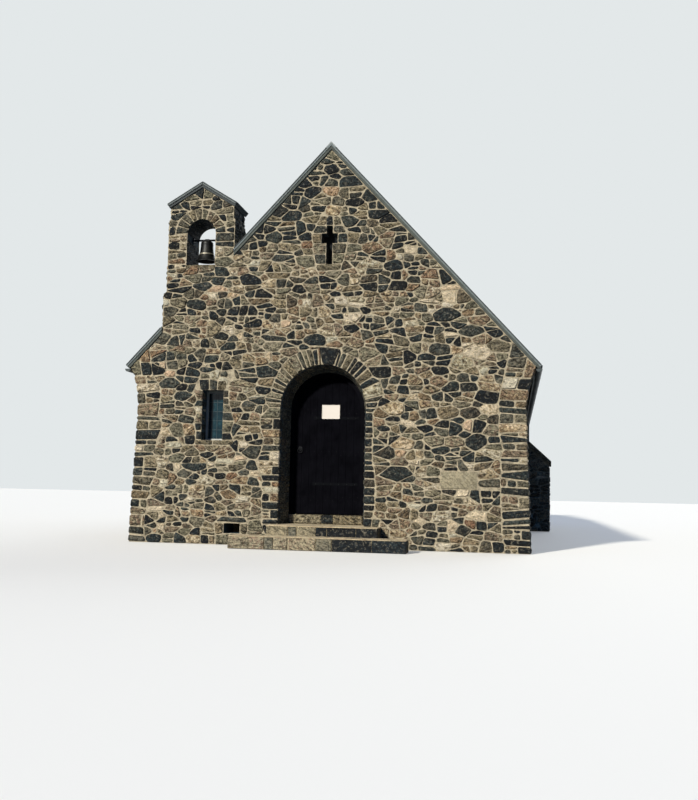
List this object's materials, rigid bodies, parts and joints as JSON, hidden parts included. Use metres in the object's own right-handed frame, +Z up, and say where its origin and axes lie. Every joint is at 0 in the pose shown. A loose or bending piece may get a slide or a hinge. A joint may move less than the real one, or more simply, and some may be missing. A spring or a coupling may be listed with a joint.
{
  "type": "small chapel",
  "caption": "Small gabled stone chapel with a slate roof, a round-arched front door and an open bell-cote with a swinging bell.",
  "frame": {"origin": "ground level under the middle of the front wall's outer face", "axes": "+Y runs into the building along the nave, +X to the right seen from the front, +Z up"},
  "size_m": [7.68, 13.89, 6.5736],
  "materials": {
    "rubble": "rough split rubble in pale mortar",
    "arch_stone": "rough dressed greywacke",
    "step_stone": "worn slabs",
    "slates": "matt grey-green slate",
    "roof_boards": "stained boards",
    "floor_boards": "oiled boards",
    "gutter_metal": "satin dark grey paint",
    "door_timber": "dark stain",
    "window_timber": "pale weathered paint",
    "window_glass": "dark clear",
    "iron": "blackened",
    "bell_metal": "dark tarnished bronze"
  },
  "bodies": {
    "root": {"front_wall_left": "rubble", "front_wall_right": "rubble", "door_footing": "rubble", "door_arch": "arch_stone", "arch_spandrel_left": "rubble", "arch_spandrel_right": "rubble", "front_gable": "rubble", "side_wall_left": "rubble", "side_wall_right": "rubble", "rear_wall": "rubble", "rear_gable": "rubble", "floor": "floor_boards", "roof_deck_left": "roof_boards", "roof_deck_right": "roof_boards", "slates_left": "slates", "slates_right": "slates", "ridge_capping": "slates", "fascias": "roof_boards", "gutters": "gutter_metal", "downpipes": "gutter_metal", "buttresses": "rubble", "buttress_caps": "arch_stone", "step_lower": "step_stone", "step_upper": "step_stone", "threshold": "step_stone", "door_frame": "door_timber", "door_pintles": "iron", "front_window": "window_timber", "side_windows": "window_timber", "rear_windows": "window_timber", "window_glass": "window_glass", "cross_glass": "window_glass", "cote_shaft": "rubble", "cote_pier_left": "rubble", "cote_pier_right": "rubble", "cote_head": "rubble", "cote_roof_left": "slates", "cote_roof_right": "slates", "cote_sill_stone": "step_stone", "bell_bearings": "iron"},
    "door": {"door_leaf": "door_timber", "door_ledges": "door_timber", "door_straps": "iron", "door_hinges": "iron", "door_handle": "iron"},
    "bell": {"bell_axle": "iron", "bell_hanger": "iron", "bell": "bell_metal", "clapper_staple": "iron"},
    "clapper": {"clapper": "iron"}
  },
  "joints": [
    {"name": "door_swing", "type": "hinge", "parent": "root", "child": "door", "pos_m": [0.523, 0.58, 1.5], "axis": [0, 0, -1], "range_deg": [0, 95]},
    {"name": "bell_swing", "type": "hinge", "parent": "root", "child": "bell", "pos_m": [-2.165, 0.31, 5.05787], "axis": [1, 0, 0], "range_deg": [-60, 60]},
    {"name": "clapper_swing", "type": "hinge", "parent": "bell", "child": "clapper", "pos_m": [-2.165, 0.31, 4.97087], "axis": [1, 0, 0], "range_deg": [-22, 22]}
  ]
}
